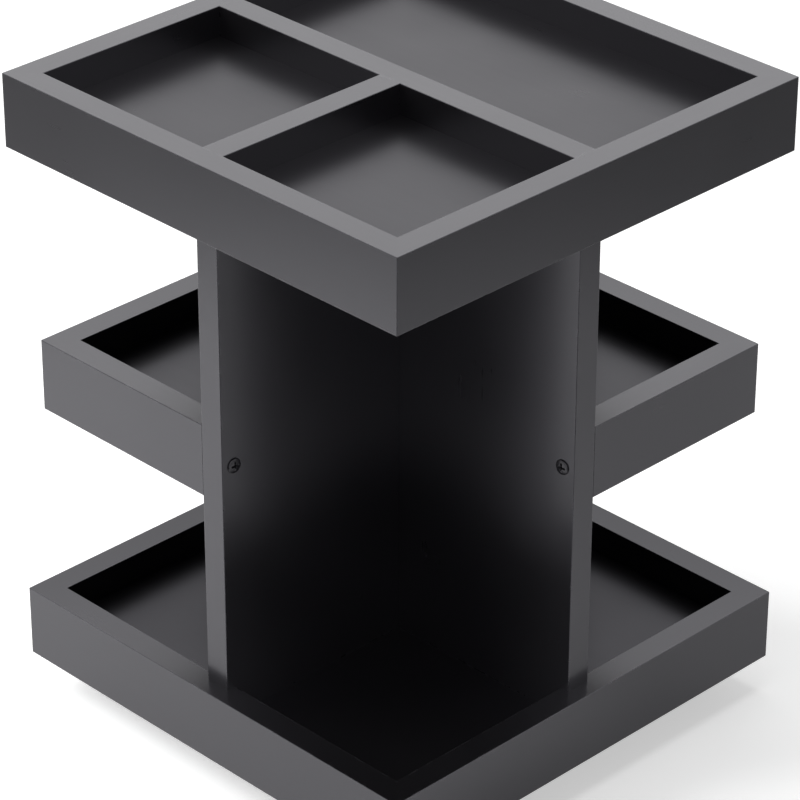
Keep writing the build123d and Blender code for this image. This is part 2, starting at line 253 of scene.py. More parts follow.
class HardwareSettings(PropertyGroup):
    """Colours of the metal, plastic, rubber and bare wood."""

    zinc_color: FloatVectorProperty(
        name="Zinc", description="Colour of the zinc plated screws", subtype="COLOR", size=3,
        min=0, max=1, default=(0.50, 0.51, 0.51))
    enamel_color: FloatVectorProperty(
        name="Black enamel", description="Colour of the black screws' coating", subtype="COLOR",
        size=3, min=0, max=1, default=(0.0090, 0.0088, 0.0105))
    bare_steel: FloatVectorProperty(
        name="Bare steel", description="Colour where a screw's coating has worn off",
        subtype="COLOR", size=3, min=0, max=1, default=(0.40, 0.40, 0.40))
    aluminium_color: FloatVectorProperty(
        name="Aluminium", description="Colour of the bearing's rings", subtype="COLOR", size=3,
        min=0, max=1, default=(0.56, 0.57, 0.58))
    ball_color: FloatVectorProperty(
        name="Balls", description="Colour of the polished balls", subtype="COLOR", size=3, min=0,
        max=1, default=(0.60, 0.60, 0.61))
    nylon_color: FloatVectorProperty(
        name="Nylon", description="Colour of the balls' cage", subtype="COLOR", size=3, min=0,
        max=1, default=(0.80, 0.79, 0.74))
    beech_color: FloatVectorProperty(
        name="Beech", description="Colour of the dowels", subtype="COLOR", size=3, min=0, max=1,
        default=(0.62, 0.44, 0.26))
    rubber_color: FloatVectorProperty(
        name="Rubber", description="Colour of the feet", subtype="COLOR", size=3, min=0, max=1,
        default=(0.025, 0.025, 0.025))


class StageSettings(PropertyGroup):
    """The camera, the floor, the backdrop and the light from all round."""

    camera_at: FloatVectorProperty(
        name="Camera", description="Where the camera stands", size=3, unit="LENGTH", precision=4,
        default=(1.02756, -1.01442, 0.96224))
    camera_yaw: FloatProperty(
        name="Yaw", description="Turn of the camera about the vertical", unit="ROTATION",
        default=math.radians(45.36))
    camera_pitch: FloatProperty(
        name="Pitch", description="How far the camera looks down", unit="ROTATION",
        default=math.radians(29.43))
    camera_roll: FloatProperty(
        name="Roll", description="Turn of the camera about its own axis", unit="ROTATION",
        default=math.radians(0.12))
    lens: FloatProperty(
        name="Lens", description="Focal length in millimetres on a 36 mm wide sensor",
        default=174.66, min=10)
    floor_color: FloatVectorProperty(
        name="Floor", description="Colour of the pale floor", subtype="COLOR", size=3, min=0,
        max=1, default=(0.80, 0.80, 0.80))
    # The floor's darkening far away is painted shade: floor colour that stands in for light falling
    # off with distance.
    sheet_radius: FloatProperty(
        name="Sheet radius", description="How far the pale floor reaches before it gets darker",
        min=0.1, default=0.48, unit="LENGTH")
    falloff_fade: FloatProperty(
        name="Sheet fade", description="Width over which the far floor gets darker", min=0.01,
        default=0.20, unit="LENGTH")
    shade_share: FloatProperty(
        name="Dark share", description="Brightness of the darker floor as a share of the pale "
        "floor's", min=0, max=1, default=0.04, subtype="FACTOR")
    # A band of painted shade on the floor in front of the object, for less light from that side.
    shade_band_near: FloatProperty(
        name="Flag distance", description="How far in front of the turning axis a band of darker "
        "floor begins", min=0.1, default=0.22, unit="LENGTH")
    shade_band_far: FloatProperty(
        name="Flag end", description="How far in front of the turning axis that band ends",
        min=0.2, default=0.54, unit="LENGTH")
    shade_band_fade: FloatProperty(
        name="Flag fade", description="Width over which the floor changes at the band's edges",
        min=0.01, default=0.10, unit="LENGTH")
    floor_glow: FloatProperty(
        name="Floor glow", description="Brightness that the camera sees added to the floor",
        min=0, default=0.5)
    horizon_near: FloatProperty(
        name="Horizon start", description="Distance past which the floor that the camera sees "
        "gets whiter", min=0.3, default=0.8, unit="LENGTH")
    horizon_far: FloatProperty(
        name="Horizon end", description="Distance past which the floor that the camera sees is "
        "white", min=0.4, default=2.4, unit="LENGTH")
    mirrored_share: FloatProperty(
        name="Mirrored share", description="Share of the floor's glow that a reflection shows, "
        "but for the darker band in front", min=0, max=1, default=0.2, subtype="FACTOR")
    backdrop_distance: FloatProperty(
        name="Backdrop distance", description="How far behind the turning axis the backdrop "
        "stands", min=0.3, default=0.45, unit="LENGTH")
    backdrop_low: FloatProperty(
        name="Backdrop low", description="Height below which the backdrop is at its dimmest",
        min=0, default=0.20, unit="LENGTH")
    backdrop_high: FloatProperty(
        name="Backdrop high", description="Height of the backdrop, where it is white", min=0.1,
        default=0.40, unit="LENGTH")
    backdrop_dimmest: FloatProperty(
        name="Backdrop dimmest", description="Brightness of the backdrop's foot", min=0, max=1,
        default=0.5, subtype="FACTOR")
    ambient: FloatProperty(
        name="Ambient", description="Strength of the even light from all round", min=0,
        default=0.2)


# Shader maths


class Value:
    """One output socket; an expression on values adds its Math nodes."""

    def __init__(self, graph, socket):
        self.graph = graph
        self.socket = socket

    def math(self, operation, *others):
        """The Math node of this name on the value and the others."""
        terms = dict(enumerate((self, *others)))
        return self.graph.node("ShaderNodeMath", {"operation": operation}, terms)

    def __add__(self, other):
        return self.math("ADD", other)

    __radd__ = __add__

    def __mul__(self, other):
        return self.math("MULTIPLY", other)

    __rmul__ = __mul__

    def __sub__(self, other):
        return self.math("SUBTRACT", other)

    def __rsub__(self, other):
        return self.graph.node("ShaderNodeMath", {"operation": "SUBTRACT"}, {0: other, 1: self})

    def __abs__(self):
        return self.math("ABSOLUTE")

    def least(self, other):
        """The smaller of the two."""
        return self.math("MINIMUM", other)

    def most(self, other):
        """The larger of the two."""
        return self.math("MAXIMUM", other)

    def step(self, low, high):
        """0 below low, 1 above high, smooth between; low may be the larger."""
        if low > high:
            return 1 - self.step(high, low)
        return self.graph.node("ShaderNodeMapRange", {"interpolation_type": "SMOOTHSTEP"},
                               {0: self, 1: low, 2: high, 3: 0.0, 4: 1.0})


class Graph:
    """The nodes of one material, new by its name, or of the world."""

    def __init__(self, owner):
        self.material = bpy.data.materials.new(owner) if isinstance(owner, str) else owner
        self.material.use_nodes = True
        self.tree = self.material.node_tree
        self.tree.nodes.clear()
        self.place = self.node("ShaderNodeTexCoord", output="Object")

    def node(self, kind, settings=None, sockets=None, output=0):
        """Adds a node, first its settings, then its sockets' values or links; gives one output."""
        made = self.tree.nodes.new(kind)
        for name, setting in (settings or {}).items():
            setattr(made, name, setting)
        for name, value in (sockets or {}).items():
            if isinstance(value, Value):
                self.tree.links.new(value.socket, made.inputs[name])
            else:
                made.inputs[name].default_value = value
        return Value(self, made.outputs[output]) if made.outputs else made

    def axes(self):
        """The object's own X, Y and Z, in metres."""
        parts = self.tree.nodes.new("ShaderNodeSeparateXYZ")
        self.tree.links.new(self.place.socket, parts.inputs[0])
        return [Value(self, output) for output in parts.outputs]

    def radius(self):
        """Distance from the turning axis, in metres."""
        across, along, _ = self.axes()
        return (across * across + along * along).math("SQRT")

    def noise(self, size, detail=2.0, stretch=(1, 1, 1), offset=(0, 0, 0), at=None):
        """Noise whose ripples are about size apart, longer along the axes with a larger stretch."""
        scale = tuple(1 / (size * factor) for factor in stretch)
        point = self.node("ShaderNodeMapping", None,
                          {"Vector": at or self.place, "Location": offset, "Scale": scale})
        return self.node("ShaderNodeTexNoise", None,
                         {"Vector": point, "Scale": 1.0, "Detail": detail, "Roughness": 0.5})

    def attribute(self, name, output="Fac"):
        """What the mesh holds at each vertex: a number, or with output Vector a point."""
        return self.node("ShaderNodeAttribute", {"attribute_name": name}, output=output)

    def varied(self, base, *noises):
        """The base, moved up or down by each noise, by half of the spread named with it."""
        for noise, spread in noises:
            base = (noise - 0.5) * spread + base
        return base

    def shades(self, factor, color, spread):
        """The colour, from spread darker where the factor is 0 to spread lighter where it is 1."""
        return self.blend(factor, tuple(c * (1 - spread) for c in color),
                          tuple(min(c * (1 + spread), 1.0) for c in color))

    def blend(self, factor, first, second):
        """Colour between first, where the factor is 0, and second, where it is 1."""
        return self.node("ShaderNodeMix", {"data_type": "RGBA"},
                         {0: factor, 6: self.color(first), 7: self.color(second)}, output=2)

    def color(self, value):
        """A colour for a socket: a value as it is, or three numbers with their alpha."""
        return value if isinstance(value, Value) else (*value, 1.0)

    def bump(self, height):
        """Normal of a surface raised by height, in metres."""
        return self.node("ShaderNodeBump", None,
                         {"Strength": 1.0, "Distance": 1.0, "Height": height})

    def surface(self, shader):
        """Ends the graph in this shader and gives the material."""
        self.node("ShaderNodeOutputMaterial", None, {"Surface": shader})
        return self.material

    def finish(self, **sockets):
        """Ends the graph in one Principled shader and gives the material."""
        named = {name.replace("_", " "): value for name, value in sockets.items()}
        for name in ("Base Color", "Specular Tint"):
            if name in named:
                named[name] = self.color(named[name])
        return self.surface(self.node("ShaderNodeBsdfPrincipled", None, named))


def edge_distance(graph, node):
    """Distance from a point on a board's surface to the board's nearest edge.

    On a box's surface the distance to one face is nought; the next smallest is the way to an edge,
    which is the middle one of the three distances to the box's faces.
    """
    low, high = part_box(node)
    across = [(far - near) / 2 - abs(axis - (near + far) / 2)
              for axis, near, far in zip(graph.axes(), low, high)]
    smaller, larger = across[0].least(across[1]), across[0].most(across[1])
    return smaller.most(larger.least(across[2]))


def round_edge_distance(graph, node):
    """Distance from a point on a disc's surface to the disc's nearest edge.

    On the surface either the way to the side or the way to a face is nought, so it is the larger.
    """
    low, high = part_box(node)
    across = high[0] - graph.radius()
    up = (high[2] - low[2]) / 2 - abs(graph.axes()[2] - (low[2] + high[2]) / 2)
    return across.most(up)


# Finishes


def satin_paint(node, along, settings, distance=edge_distance):
    """Satin black sprayed over a sanded board, with ripples, nibs and a hint of the grain.

    Handling has burnished the edges in patches, and the lighter colour there is partly a painted
    highlight along the edges. The floors of the trays and shelves have no lacquer. The pattern is
    shifted by the length of the node's name, so that boards differ.
    """
    graph = Graph(f"satin_black_{node}")
    stretch = tuple(settings.grain_stretch if axis == along else 1.0 for axis in "XYZ")
    seed = tuple(0.37 * (len(node) + index) for index in range(3))
    clouds = graph.noise(settings.cloud_size, 3.0, offset=seed)
    streaks = graph.noise(settings.grain_size, 3.0, stretch, seed)
    ripples = graph.noise(settings.peel_size, 2.0, offset=seed)
    nibs = graph.noise(settings.nib_size, 1.0).step(0.70, 0.78)
    band = distance(graph, node).step(settings.edge_width, settings.edge_width * settings.edge_core)
    # Lighter edge band: burnished wear, and also a painted highlight along the edges.
    worn = band * graph.noise(settings.edge_patch, 4.0, offset=seed).step(0.42, 0.66)
    tone = graph.shades(clouds, settings.color, 0.25)
    tone = graph.blend(worn * 0.6, tone, settings.edge_wear_and_highlight_color)
    roughness = graph.varied(settings.roughness, (clouds, 0.10), (streaks, 0.05)) - worn * 0.06
    height = (ripples * settings.peel_height + streaks * settings.grain_height
              + nibs * settings.nib_height)
    unlacquered = node.endswith("floor")
    return graph.finish(
        Base_Color=tone, Roughness=roughness, Normal=graph.bump(height),
        IOR=settings.floor_gloss_index if unlacquered else settings.gloss_index,
        Specular_Tint=settings.gloss_tint, Coat_Roughness=settings.lacquer_roughness,
        Coat_Weight=0.0 if unlacquered else settings.lacquer_weight)


def plated_screw(name, color, bare):
    """A zinc plated screw: mottled coating, scuffed to bare steel where its wear is 1."""
    graph = Graph(name)
    mottle = graph.noise(0.9 * MM, 4.0)
    grit = graph.noise(0.12 * MM, 2.0)
    scuff = graph.attribute("wear") * graph.noise(0.25 * MM, 5.0).step(0.25, 0.75)
    tone = graph.blend(scuff * 0.8, graph.shades(mottle, color, 0.30), bare)
    roughness = graph.varied(ZINC_ROUGHNESS, (mottle, 0.22), (grit, 0.16)) - scuff * 0.08
    height = grit * 0.003 * MM + mottle * 0.004 * MM
    return graph.finish(Base_Color=tone, Metallic=1.0, Roughness=roughness,
                        Normal=graph.bump(height))


def enamelled_screw(name, color, bare, paint):
    """A black enamelled screw: fine orange peel, rubbed through to steel where its wear is 1."""
    graph = Graph(name)
    mottle = graph.noise(1.2 * MM, 3.0)
    peel = graph.noise(0.35 * MM, 2.0)
    rubbed = graph.attribute("wear") * graph.noise(0.3 * MM, 4.0).step(0.48, 0.80)
    tone = graph.blend(rubbed * 0.5, graph.shades(mottle, color, 0.30), bare)
    return graph.finish(
        Base_Color=tone, Metallic=rubbed * 0.9, Normal=graph.bump(peel * 0.002 * MM),
        Roughness=graph.varied(paint.roughness, (mottle, 0.14), (peel, 0.08)),
        Specular_Tint=paint.gloss_tint, Coat_Roughness=paint.lacquer_roughness,
        Coat_Weight=paint.lacquer_weight)


def turned_aluminium(name, color):
    """A ring faced on a lathe: fine lines and a coarser feed round its axis, and oily patches."""
    graph = Graph(name)
    height = graph.axes()[2]
    section = graph.node("ShaderNodeCombineXYZ", None, {"X": graph.radius(), "Z": height})
    lines = graph.noise(0.09 * MM, 3.0, at=section)
    feed = graph.noise(0.8 * MM, 2.0, at=section)
    oil = graph.noise(7 * MM, 4.0).step(0.52, 0.66)
    tone = graph.shades(lines * 0.6 + feed * 0.4, color, 0.30)
    tone = graph.blend(oil * 0.25, tone, tuple(c * 0.72 for c in color))
    roughness = graph.varied(ALUMINIUM_ROUGHNESS, (lines, 0.20), (feed, 0.12)) - oil * 0.10
    return graph.finish(Base_Color=tone, Metallic=1.0, Roughness=roughness,
                        Normal=graph.bump(lines * 0.006 * MM + feed * 0.010 * MM))


def polished_steel(name, color):
    """Ball bearing steel: near mirror, with hairline scratches and a trace of grease."""
    graph = Graph(name)
    scratches = graph.noise(0.5 * MM, 2.0, (1, 1, 14)).step(0.66, 0.72)
    grease = graph.noise(1.4 * MM, 3.0).step(0.50, 0.68)
    tone = graph.blend(grease * 0.3, graph.shades(scratches, color, 0.04), GREASE_COLOR)
    roughness = grease * 0.22 + scratches * 0.12 + STEEL_ROUGHNESS
    return graph.finish(Base_Color=tone, Metallic=1.0, Roughness=roughness,
                        Normal=graph.bump(scratches * -0.001 * MM))


def moulded_nylon(name, color):
    """Natural nylon: faint flow marks, a fine spark-eroded grain and yellowed thin spots."""
    graph = Graph(name)
    flow = graph.noise(5 * MM, 3.0, (1, 1, 0.3))
    grain = graph.noise(0.15 * MM, 2.0)
    thin = flow.step(0.45, 0.75)
    tone = graph.blend(thin * 0.35, graph.shades(flow, color, 0.06), YELLOWED_NYLON)
    return graph.finish(Base_Color=tone, Normal=graph.bump(grain * 0.004 * MM),
                        Roughness=graph.varied(NYLON_ROUGHNESS, (grain, 0.18), (flow, 0.10)))


def bare_beech(name, color):
    """Beech turned into dowels: fibres and growth bands along each, short dark, smooth flecks."""
    graph = Graph(name)
    made = graph.attribute("made", "Vector")
    fibres = graph.noise(0.16 * MM, 3.0, (1, 1, 30), at=made)
    growth = graph.noise(1.3 * MM, 2.0, (1, 1, 40), at=made)
    flecks = graph.noise(0.32 * MM, 1.0, (1, 1, 5), at=made).step(0.66, 0.74)
    tone = graph.shades(fibres * 0.5 + growth * 0.5, color, 0.28)
    tone = graph.blend(flecks * 0.7, tone, tuple(c * 0.55 for c in color))
    return graph.finish(Base_Color=tone,
                        Roughness=graph.varied(BEECH_ROUGHNESS, (fibres, 0.2)) - flecks * 0.08,
                        Normal=graph.bump(fibres * 0.02 * MM - flecks * 0.012 * MM))


def foot_rubber(name, color):
    """Moulded rubber: matt grain, pale dust in patches and scuffs where a foot meets the table."""
    graph = Graph(name)
    height = graph.axes()[2]
    grain = graph.noise(0.22 * MM, 3.0)
    dust = graph.noise(4 * MM, 4.0).step(0.45, 0.80) * 0.30
    scuff = height.step(1.4 * MM, 0.2 * MM) * graph.noise(1.6 * MM, 5.0).step(0.35, 0.80)
    tone = graph.blend(dust + scuff * 0.45, graph.shades(grain, color, 0.40), DUST_COLOR)
    roughness = graph.varied(RUBBER_ROUGHNESS, (grain, 0.16)) + dust * 0.2 - scuff * 0.12
    return graph.finish(Base_Color=tone, Roughness=roughness,
                        Normal=graph.bump(grain * 0.02 * MM + scuff * 0.01 * MM))


# Surfaces


def closed_grid(rows, columns, shift=0):
    """Quads between rows round an axis; past the last column a row goes on shift rows later."""
    row, column = np.mgrid[:rows - 1, :columns]

    def corner(r, c):
        return np.minimum(r + shift * (c == columns), rows - 1) * columns + c % columns

    quads = [corner(row, column), corner(row + 1, column),
             corner(row + 1, column + 1), corner(row, column + 1)]
    return np.stack(quads, axis=-1).reshape(-1, 4)


def around(radius, angle, z):
    """Points of a surface round Z, from its radius at each row and angle, and its height."""
    radius, angle, z = np.broadcast_arrays(radius, angle, z)
    return np.stack([radius * np.cos(angle), radius * np.sin(angle), z], axis=-1).reshape(-1, 3)


def joined(*shapes):
    """Several shapes as one: vertices, faces and the wear at each vertex."""
    starts = np.cumsum([0] + [len(vertices) for vertices, _, _ in shapes[:-1]])
    return (np.concatenate([vertices for vertices, _, _ in shapes]),
            np.concatenate([faces + start for (_, faces, _), start in zip(shapes, starts)]),
            np.concatenate([wear for _, _, wear in shapes]))


def cross_angles(length, width):
    """Angles round a cross recess: three over each arm's end, seven from arm to arm."""
    corner = math.atan2(width, length)
    between = np.linspace(corner, math.pi / 2 - corner, 9)[1:-1]
    quarter = np.concatenate([np.linspace(-corner, corner, 3), between])
    return np.concatenate([quarter + turn * math.pi / 2 for turn in range(4)])


def cross_outline(angle, length, width):
    """Distance from a cross's middle to its outline: the arm's end, length away, or the arm's side.

    The angle is taken from the nearest arm. The end is met at length / cos, the side at
    width / sin, where width is half of the arm's.
    """
    from_arm = np.abs((angle + math.pi / 4) % (math.pi / 2) - math.pi / 4)
    return np.minimum(length / np.cos(from_arm), width / np.maximum(np.sin(from_arm), 1e-6))


def head_rows(rim, head_height, settings):
    """Rows of rings from the bottom of a head's recess over its face and rim, and its dome.

    A row is a share of the cross's outline, a round part added to it, the depth below the dome, and
    the wear. A pan head's rim is a quarter circle with a side below it; a countersunk head's is two
    small bevels.
    """
    bevel, deep = settings.bevel, settings.cross_depth
    if head_height:
        dome, shoulder = settings.head_dome, rim - settings.head_round
        side = [(0, shoulder + settings.head_round * math.sin(t),
                 settings.head_round * (1 - math.cos(t)), 0.25 * math.sin(2 * t))
                for t in np.linspace(0, math.pi / 2, 7)]
        side += [(0, rim, head_height - bevel - dome, 0.3), (0, rim - bevel, head_height - dome, 0)]
    else:
        dome, shoulder = 0.0, rim - bevel
        side = [(0, shoulder, 0, 0.4), (0, rim, bevel, 0.7), (0, rim, 2 * bevel, 0.2)]
    recess = [(0, 0, deep * 1.25, 0.1), (0.45, 0, deep, 0.1), (0.80, 0, deep * 0.3, 0.3),
              (1, 0, bevel, 0.9), (1, bevel, 0, 0.6)]
    face = [(0.8, shoulder * 0.2, 0, 0.1), (0.4, shoulder * 0.6, 0, 0)]
    return np.array(recess + face + side), dome


def thread_shape(angle, diameter, neck, top, length, settings):
    """A thread from top down to the point at -length.

    It is a ridge that winds down the core: the point at row r and turn t stands at r + t pitches,
    so that each row is a helix and the ridge's crest stays sharp.
    """
    shank = diameter / 2
    core = shank * settings.core_share
    pitch = diameter * settings.pitch_share
    count = math.ceil((length + top) / pitch) + 1
    turns = (np.arange(-1, count)[:, None] + RIDGE_PHASES).ravel()[:, None]
    raised = np.tile(RIDGE_RAISED, count + 1)[:, None]
    turned = (angle - angle[0]) / (2 * math.pi)
    z = np.clip(top - pitch * (turns + turned), -length, top)
    point = min(POINT_DIAMETERS * diameter, (length + top) * POINT_SHARE)
    body = np.interp(z, [-length, -length + point, top - pitch, top], [0, core, core, neck])
    fade = np.clip((z + length) / point, 0, 1) * np.clip((top - z) / (RIDGE_START * pitch), 0, 1)
    radius = body + raised * fade * (shank - body)
    wear = (raised * fade * 0.8).ravel()
    return around(radius, angle, z), closed_grid(len(turns), angle.size, len(RIDGE_PHASES)), wear


def screw_shape(head, head_height, diameter, length, settings):
    """A wood screw with a cross recess: its head and plain shank as rows of rings, and its thread.

    A head_height of nought makes it countersunk. A ring's radius is its share of the cross's
    outline plus its round part, and a pan head's rows lie on a low dome.
    """
    rim, shank = head / 2, diameter / 2
    arm, half_width = rim * settings.cross_share, settings.cross_width / 2
    angle = cross_angles(arm, half_width)
    rows, dome = head_rows(rim, head_height, settings)
    share, plain, depth, wear = rows.T[:, :, None]
    radius = share * cross_outline(angle, arm, half_width) + plain
    z = -depth - dome * np.minimum(radius / rim, 1) ** 2

    neck = shank * (settings.core_share + 1) / 2
    under = head_height or rim - neck + settings.bevel
    thread_top = -max(length * settings.plain_share, under + diameter * settings.pitch_share)
    radius = np.concatenate([radius, np.full((2, angle.size), neck)])
    z = np.concatenate([z, np.full((1, angle.size), -under), np.full((1, angle.size), thread_top)])
    wear = np.broadcast_to(np.concatenate([wear, np.zeros((2, 1))]), radius.shape)
    top = (around(radius, angle, z), closed_grid(len(radius), angle.size), wear.ravel())
    return joined(top, thread_shape(angle, diameter, neck, thread_top, length, settings))


def dowel_shape(diameter, length, chamfer, settings):
    """A fluted dowel, its top at the origin: a rod with V grooves along it and chamfered ends."""
    rod = diameter / 2
    depths = np.tile(FLUTE_DEPTHS, settings.flutes) * settings.flute_depth
    flute = np.arange(settings.flutes)[:, None] + FLUTE_PHASES
    angle = (flute / settings.flutes * 2 * math.pi).ravel()
    radius = np.array([0, rod - chamfer, rod, rod, rod, rod, rod - chamfer, 0])
    z = -np.array([0, 0, chamfer, length / 3, length * 2 / 3, length - chamfer, length, length])
    fluted = np.minimum(radius[:, None], rod - depths)
    faces = closed_grid(len(z), angle.size)
    return around(fluted, angle, z[:, None]), faces, np.zeros(fluted.size)


# Pieces


def add_object(name, data):
    """An object in the scene with this mesh, lamp or camera."""
    made = bpy.data.objects.new(name, data)
    bpy.context.scene.collection.objects.link(made)
    return made


def set_material(piece, material):
    """Gives a piece one material."""
    piece.data.materials.clear()
    piece.data.materials.append(material)


def add_copies(name, shape, places):
    """A mesh object of the shape, made with its top at the origin and along -Z, once at each place.

    A place is where the top goes and which way it looks. Each vertex keeps its wear and the point
    where it was made, a little further up for each copy so that no two have the same grain. Doubled
    points are merged, and only sharp edges are shaded sharp.
    """
    vertices, faces, wear = shape
    turns = [np.array(Vector(up).to_track_quat("Z", "Y").to_matrix()) for _, up in places]
    moved = [vertices @ turn.T + np.array(where) for turn, (where, _) in zip(turns, places)]
    made = [vertices + (0, 0, index * 2 * np.ptp(vertices[:, 2])) for index in range(len(places))]
    quads = [faces + index * len(vertices) for index in range(len(places))]
    mesh = bpy.data.meshes.new(name)
    mesh.from_pydata(np.concatenate(moved).tolist(), [], np.concatenate(quads).tolist())
    for attribute, kind, field, values in (
            ("wear", "FLOAT", "value", np.tile(wear, len(places))),
            ("made", "FLOAT_VECTOR", "vector", np.concatenate(made).ravel())):
        layer = mesh.attributes.new(attribute, kind, "POINT")
        layer.data.foreach_set(field, values.astype(np.float32))
    merged = bmesh.new()
    merged.from_mesh(mesh)
    bmesh.ops.remove_doubles(merged, verts=merged.verts, dist=SAME_POINT)
    merged.to_mesh(mesh)
    merged.free()
    mesh.shade_smooth()
    mesh.set_sharp_from_angle(angle=SHARP_EDGE)
    return add_object(name, mesh)


def stand_for(node, suffix, shape, places, body, material):
    """Adds a piece of the shape at each place, for the node, riding on its body."""
    piece = add_copies(f"{node}_{suffix}", shape, places)
    set_material(piece, material)
    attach(piece, body)
    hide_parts(node)


def bay_places(radius, out, height):
    """Four places on the panels' faces in the tall bays, looking out of the panel there."""
    places = []
    for sign in (1, -1):
        places.append(((sign * radius, -sign * out, height), (0, -sign, 0)))
        places.append(((sign * out, -sign * radius, height), (sign, 0, 0)))
    return places


def ring_places(radius, height, up, start=0.0):
    """Four places round the turning axis, looking up or down."""
    angles = [start + quarter * math.pi / 2 for quarter in range(4)]
    return [((radius * math.cos(a), radius * math.sin(a), height), (0, 0, up)) for a in angles]


def panel_face():
    """How far the panels' faces lie from the planes through the turning axis."""
    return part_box("cross_panel_slotted_above")[1][1]


# Operators


class ORGANIZER_OT_paint_boards(Operator):
    """Paint every board of the trays, panels, shelves and base"""

    bl_idname = "organizer.paint_boards"
    bl_label = "Paint boards"

    def execute(self, context):
        settings = context.scene.organizer_paint
        for along, names in zip("XYZ", (BOARDS_ALONG_X, BOARDS_ALONG_Y, BOARDS_ALONG_Z)):
            for name in names:
                set_material(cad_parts[name], satin_paint(name, along, settings))
        base = satin_paint("base_board", "X", settings, round_edge_distance)
        set_material(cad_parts["base_board"], base)
        return {"FINISHED"}


class ORGANIZER_OT_make_shelf_screws(Operator):
    """Make the black screws through the panels into the shelves"""

    bl_idname = "organizer.make_shelf_screws"
    bl_label = "Make shelf screws"

    def execute(self, context):
        settings = context.scene.organizer_fasteners
        hardware = context.scene.organizer_hardware
        screw = screw_shape(SHELF_SCREW_HEAD, SHELF_SCREW_HEAD_HEIGHT, SHELF_SCREW,
                            SHELF_SCREW_LENGTH, settings)
        low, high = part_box("shelf_rim_screws")
        places = bay_places(high[0] - SHELF_SCREW_HEAD / 2, panel_face() + SHELF_SCREW_HEAD_HEIGHT,
                            (low[2] + high[2]) / 2)
        black = enamelled_screw("black_enamel", hardware.enamel_color, hardware.bare_steel,
                                context.scene.organizer_paint)
        stand_for("shelf_rim_screws", "threaded", screw, places, "organizer", black)
        return {"FINISHED"}


class ORGANIZER_OT_make_zinc_screws(Operator):
    """Make the plated screws of the panels, the bearing's rings and the feet"""

    bl_idname = "organizer.make_zinc_screws"
    bl_label = "Make zinc screws"

    def execute(self, context):
        settings = context.scene.organizer_fasteners
        hardware = context.scene.organizer_hardware
        zinc = plated_screw("zinc_plate", hardware.zinc_color, hardware.bare_steel)
        for node, body, head, head_height, diameter, up, start in ZINC_SCREWS:
            low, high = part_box(node)
            radius = (high[0] - head / 2) / math.cos(start)
            top = high[2] if up > 0 else low[2]
            screw = screw_shape(head, head_height, diameter, high[2] - low[2], settings)
            places = ring_places(radius, top, up, start)
            stand_for(node, "threaded", screw, places, body, zinc)
        return {"FINISHED"}


class ORGANIZER_OT_make_dowels(Operator):
    """Make the fluted dowels between the panels and the upper tray, and into the shelves' floors"""

    bl_idname = "organizer.make_dowels"
    bl_label = "Make dowels"

    def execute(self, context):
        settings = context.scene.organizer_fasteners
        beech = bare_beech("bare_beech", context.scene.organizer_hardware.beech_color)
        low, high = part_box("panel_dowels")
        dowel = dowel_shape(PANEL_DOWEL, high[2] - low[2], DOWEL_CHAMFER, settings)
        places = [place for radius in (settings.inner_panel_dowels, high[0] - PANEL_DOWEL / 2)
                  for place in ring_places(radius, high[2], 1)]
        stand_for("panel_dowels", "fluted", dowel, places, "organizer", beech)
        low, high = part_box("shelf_dowels")
        dowel = dowel_shape(SHELF_DOWEL, SHELF_DOWEL_LENGTH, DOWEL_CHAMFER, settings)
        top = SHELF_DOWEL_IN_PANEL - panel_face()
        places = [place for radius in (settings.inner_shelf_dowels, high[0] - SHELF_DOWEL / 2)
                  for place in bay_places(radius, top, (low[2] + high[2]) / 2)]
        stand_for("shelf_dowels", "fluted", dowel, places, "organizer", beech)
        return {"FINISHED"}


class ORGANIZER_OT_finish_turntable(Operator):
    """Finish the bearing's rings, balls and cage, and the rubber feet"""

    bl_idname = "organizer.finish_turntable"
    bl_label = "Finish turntable"

    def execute(self, context):
        hardware = context.scene.organizer_hardware
        rings = turned_aluminium("turned_aluminium", hardware.aluminium_color)
        finishes = {
            "bearing_lower_ring": rings,
            "bearing_upper_ring": rings,
            "bearing_balls": polished_steel("polished_steel", hardware.ball_color),
            "ball_cage": moulded_nylon("moulded_nylon", hardware.nylon_color),
            "rubber_feet": foot_rubber("foot_rubber", hardware.rubber_color),
        }
        for name, material in finishes.items():
            set_material(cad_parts[name], material)
        return {"FINISHED"}


def add_sheet(name, corners, material):
    """A flat sheet between four corners, which is part of the stage."""
    mesh = bpy.data.meshes.new(name)
    mesh.from_pydata(corners, [], [(0, 1, 2, 3)])
    sheet = add_object(name, mesh)
    set_material(sheet, material)
    return sheet


def add_softbox(aim, name, azimuth, elevation, distance, size, watts, mirrored):
    """A rectangular lamp turned to aim from its side; azimuth 0 is -Y and 90 is +X."""
    lamp = bpy.data.lights.new(name, "AREA")
    lamp.shape = "RECTANGLE"
    lamp.size, lamp.size_y = size
    lamp.energy = watts
    a, e = math.radians(azimuth), math.radians(elevation)
    away = Vector((math.sin(a) * math.cos(e), -math.cos(a) * math.cos(e), math.sin(e)))
    piece = add_object(name, lamp)
    piece.location = aim + away * distance
    piece.rotation_euler = away.to_track_quat("Z", "Y").to_euler()
    piece.visible_glossy = mirrored


def background_seen(graph, mirrored):
    """1 for the camera and for rays through glass, mirrored for a reflection, 0 for other light."""
    camera, glossy, through = (
        graph.node("ShaderNodeLightPath", output=name)
        for name in ("Is Camera Ray", "Is Glossy Ray", "Is Transmission Ray"))
    return camera.most(through).most(glossy * mirrored)


